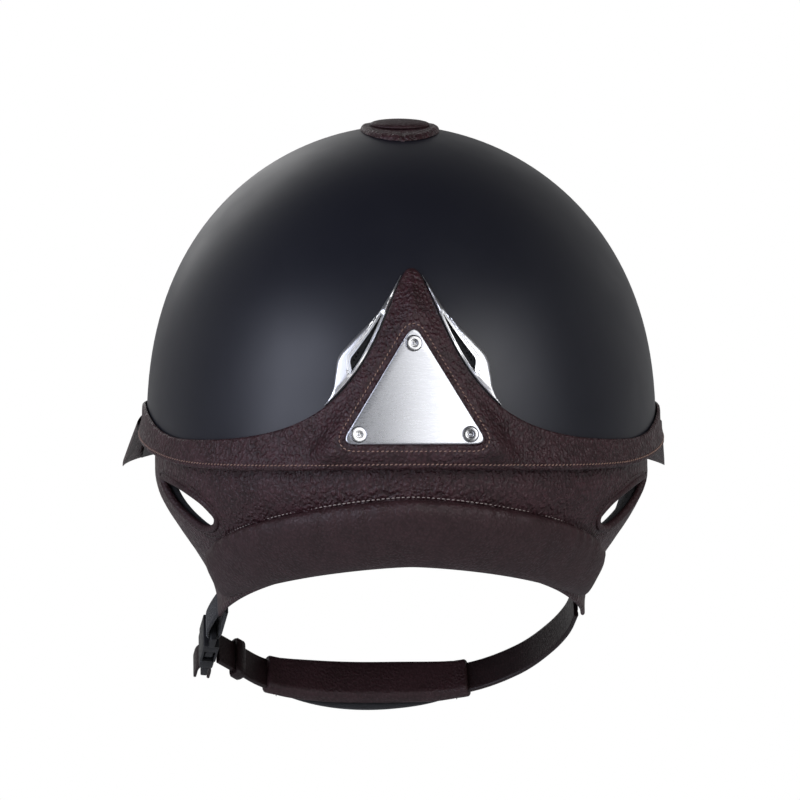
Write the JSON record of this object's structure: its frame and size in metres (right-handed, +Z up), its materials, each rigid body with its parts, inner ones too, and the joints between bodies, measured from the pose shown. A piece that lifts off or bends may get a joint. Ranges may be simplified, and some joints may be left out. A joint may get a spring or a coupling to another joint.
{
  "type": "equestrian riding helmet",
  "caption": "Riding helmet with a wide leather peak, leather-trimmed shell, rear vents, metal nape plate, leather harness with neck roll and a buckled chin strap.",
  "frame": {"origin": "inside the head opening, on the middle plane, level with the lower edge of the trim at the nape: the point at which the head holds the helmet", "axes": "+Z up, -Y towards the peak, +Y towards the nape, +X towards the rider's left"},
  "size_m": [0.2424, 0.3201, 0.2623],
  "materials": {
    "shell_black": "satin black shell",
    "leather_brown": "dark brown pebbled leather",
    "leather_dark": "near-black brown leather",
    "chrome": "polished",
    "satin_metal": "satin",
    "steel": "satin",
    "mesh_black": "black grille",
    "foam_black": "moulded bead foam",
    "liner_fabric": "black knitted lining",
    "webbing_black": "woven webbing",
    "buckle_plastic": "moulded black"
  },
  "bodies": {
    "helmet": {"outer_shell": "shell_black", "impact_liner": "foam_black", "crown_liner": "liner_fabric", "headband": "liner_fabric", "button_base": "leather_brown", "button_cap": "leather_brown", "button_screw": "steel", "leather_trim": "leather_brown", "nape_plate": "satin_metal", "plate_screw_top": "steel", "plate_screw_left": "steel", "plate_screw_right": "steel", "rear_vent_bezel_left": "chrome", "rear_vent_bezel_right": "chrome", "rear_vent_mesh_left": "mesh_black", "rear_vent_mesh_right": "mesh_black", "brow_vent_bezel": "chrome", "brow_vent_mesh": "mesh_black", "harness_screw_rear_left": "steel", "harness_screw_front_left": "steel", "harness_screw_front_right": "steel", "harness_screw_rear_right": "steel", "peak": "leather_brown", "peak_lining": "leather_dark", "nape_panel": "leather_brown", "side_harness_left": "leather_brown", "side_harness_right": "leather_brown", "ear_lining_left": "liner_fabric", "ear_lining_right": "liner_fabric", "neck_roll": "leather_brown"},
    "chin_strap": {"chin_strap": "leather_dark", "chin_pad": "leather_dark", "chin_pad_backing": "liner_fabric", "buckle_socket": "buckle_plastic", "webbing_loop": "webbing_black"},
    "keeper": {"strap_keeper": "leather_dark"},
    "buckle_plug": {"buckle_plug": "buckle_plastic", "strap_fold": "leather_dark"},
    "arm_front": {"buckle_arm_front": "buckle_plastic"},
    "arm_rear": {"buckle_arm_rear": "buckle_plastic"}
  },
  "joints": [
    {"name": "chin_strap_swing", "type": "hinge", "parent": "helmet", "child": "chin_strap", "pos_m": [0, 0.019, -0.06], "axis": [1, 0, 0], "range_deg": [-25, 20]},
    {"name": "keeper_slide", "type": "slide", "parent": "chin_strap", "child": "keeper", "axis": [0.7518, 0.505, 0.4239], "range_m": [-0.005, 0.005]},
    {"name": "buckle_release", "type": "slide", "parent": "chin_strap", "child": "buckle_plug", "axis": [0.158, -0.7564, -0.6347], "range_m": [0, 0.011]},
    {"name": "squeeze_front", "type": "hinge", "parent": "buckle_plug", "child": "arm_front", "pos_m": [0.08413, -0.00699, -0.0783], "axis": [-0.9874, -0.121, -0.1016], "range_deg": [0, 8], "stiffness_Nm_per_rad": 0.004},
    {"name": "squeeze_rear", "type": "hinge", "parent": "buckle_plug", "child": "arm_rear", "pos_m": [0.08413, 0.00021, -0.08688], "axis": [-0.9874, -0.121, -0.1016], "range_deg": [-8, 0], "stiffness_Nm_per_rad": 0.004}
  ],
  "couplings": [
    {"joint": "squeeze_rear", "follows": "squeeze_front", "ratio": -1}
  ]
}
